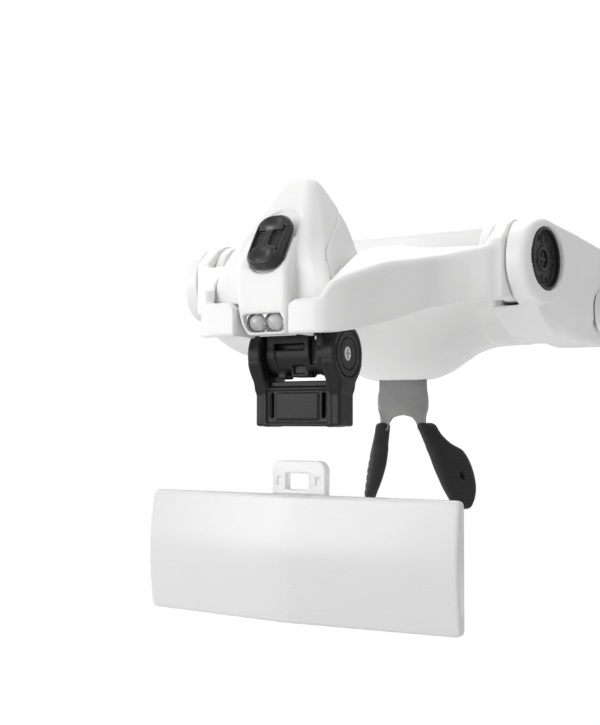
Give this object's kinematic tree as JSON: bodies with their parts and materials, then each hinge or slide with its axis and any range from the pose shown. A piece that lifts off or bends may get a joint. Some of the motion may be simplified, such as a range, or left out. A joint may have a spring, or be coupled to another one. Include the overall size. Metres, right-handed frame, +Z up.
{
  "type": "head visor magnifier",
  "caption": "Head-worn magnifier with a flip-up visor, tilting lamp, swing-away lens holder with a slide-in two-lobe lens, nose pads and folding temples.",
  "frame": {"origin": "midway between the two visor hinges, on their common axis", "axes": "+X to the wearer's left, -Y forward (where the wearer looks), +Z up with the visor down"},
  "size_m": [0.1474, 0.2125, 0.1256],
  "materials": {
    "white_abs": "white moulded ABS, satin gloss",
    "black_plastic": "black moulded plastic, semi-matte",
    "black_rubber": "soft black rubber",
    "soft_foam": "pale grey soft foam",
    "clear_acrylic": "polished clear acrylic",
    "led_clear": "clear epoxy",
    "reflector": "smooth white cup",
    "circuit_board": "solder mask",
    "cell_jacket": "printed-free jacket",
    "satin_steel": "satin",
    "bright_steel": "bright"
  },
  "bodies": {
    "head_frame": {"brow_frame": "white_abs", "brow_liner": "white_abs", "forehead_pad": "soft_foam", "friction_washer_left": "bright_steel", "friction_washer_right": "bright_steel", "hinge_cap_left": "black_plastic", "hinge_cap_right": "black_plastic", "nose_bracket": "satin_steel", "nose_bracket_screws": "bright_steel", "nose_pad_left": "black_rubber", "nose_pad_right": "black_rubber", "pivot_screw_left": "bright_steel", "pivot_screw_right": "bright_steel", "temple_joint_left": "white_abs", "temple_joint_right": "white_abs", "temple_joint_screws_left": "bright_steel", "temple_joint_screws_right": "bright_steel", "temple_pin_left": "bright_steel", "temple_pin_right": "bright_steel"},
    "visor": {"visor_shell": "white_abs", "lens_bracket": "black_plastic", "bracket_screws": "bright_steel", "lamp_pivot_pin": "bright_steel"},
    "lamp": {"lamp_housing": "white_abs", "lamp_base": "white_abs", "lamp_screws": "bright_steel", "battery_cells": "cell_jacket", "battery_contact": "bright_steel", "led_cup": "reflector", "led_board": "circuit_board", "led_left": "led_clear", "led_right": "led_clear", "switch_body": "black_plastic"},
    "battery_door": {"battery_cover": "white_abs"},
    "switch": {"switch_knob": "black_plastic"},
    "lens_carrier": {"lens_holder": "black_plastic", "holder_pivot_screw": "bright_steel", "holder_pivot_nut": "bright_steel", "holder_washers": "bright_steel"},
    "lens_plate": {"lens": "clear_acrylic"},
    "temple_left": {"temple_arm_left": "white_abs", "temple_tip_left": "black_rubber"},
    "temple_right": {"temple_arm_right": "white_abs", "temple_tip_right": "black_rubber"}
  },
  "joints": [
    {"name": "visor_tilt", "type": "hinge", "parent": "head_frame", "child": "visor", "pos_m": [0, 0, 0], "axis": [-1, 0, 0], "range_deg": [0, 65]},
    {"name": "lamp_tilt", "type": "hinge", "parent": "visor", "child": "lamp", "pos_m": [0, -0.0195, -0.0122], "axis": [-1, 0, 0], "range_deg": [0, 12]},
    {"name": "battery_cover_slide", "type": "slide", "parent": "lamp", "child": "battery_door", "axis": [0, 1, 0], "range_m": [0, 0.012]},
    {"name": "switch_slide", "type": "slide", "parent": "lamp", "child": "switch", "axis": [0, 0.5269, 0.8499], "range_m": [0, 0.003]},
    {"name": "lens_flip", "type": "hinge", "parent": "visor", "child": "lens_carrier", "pos_m": [0, -0.033, -0.0275], "axis": [-1, 0, 0], "range_deg": [-15, 75]},
    {"name": "lens_insert", "type": "slide", "parent": "lens_carrier", "child": "lens_plate", "axis": [0, 0, 1], "range_m": [0, 0.0189]},
    {"name": "temple_left_fold", "type": "hinge", "parent": "head_frame", "child": "temple_left", "pos_m": [0.0674, 0.058, -0.0125], "axis": [0, 0, 1], "range_deg": [0, 96]},
    {"name": "temple_right_fold", "type": "hinge", "parent": "head_frame", "child": "temple_right", "pos_m": [-0.0674, 0.058, -0.0125], "axis": [0, 0, -1], "range_deg": [0, 82]}
  ]
}
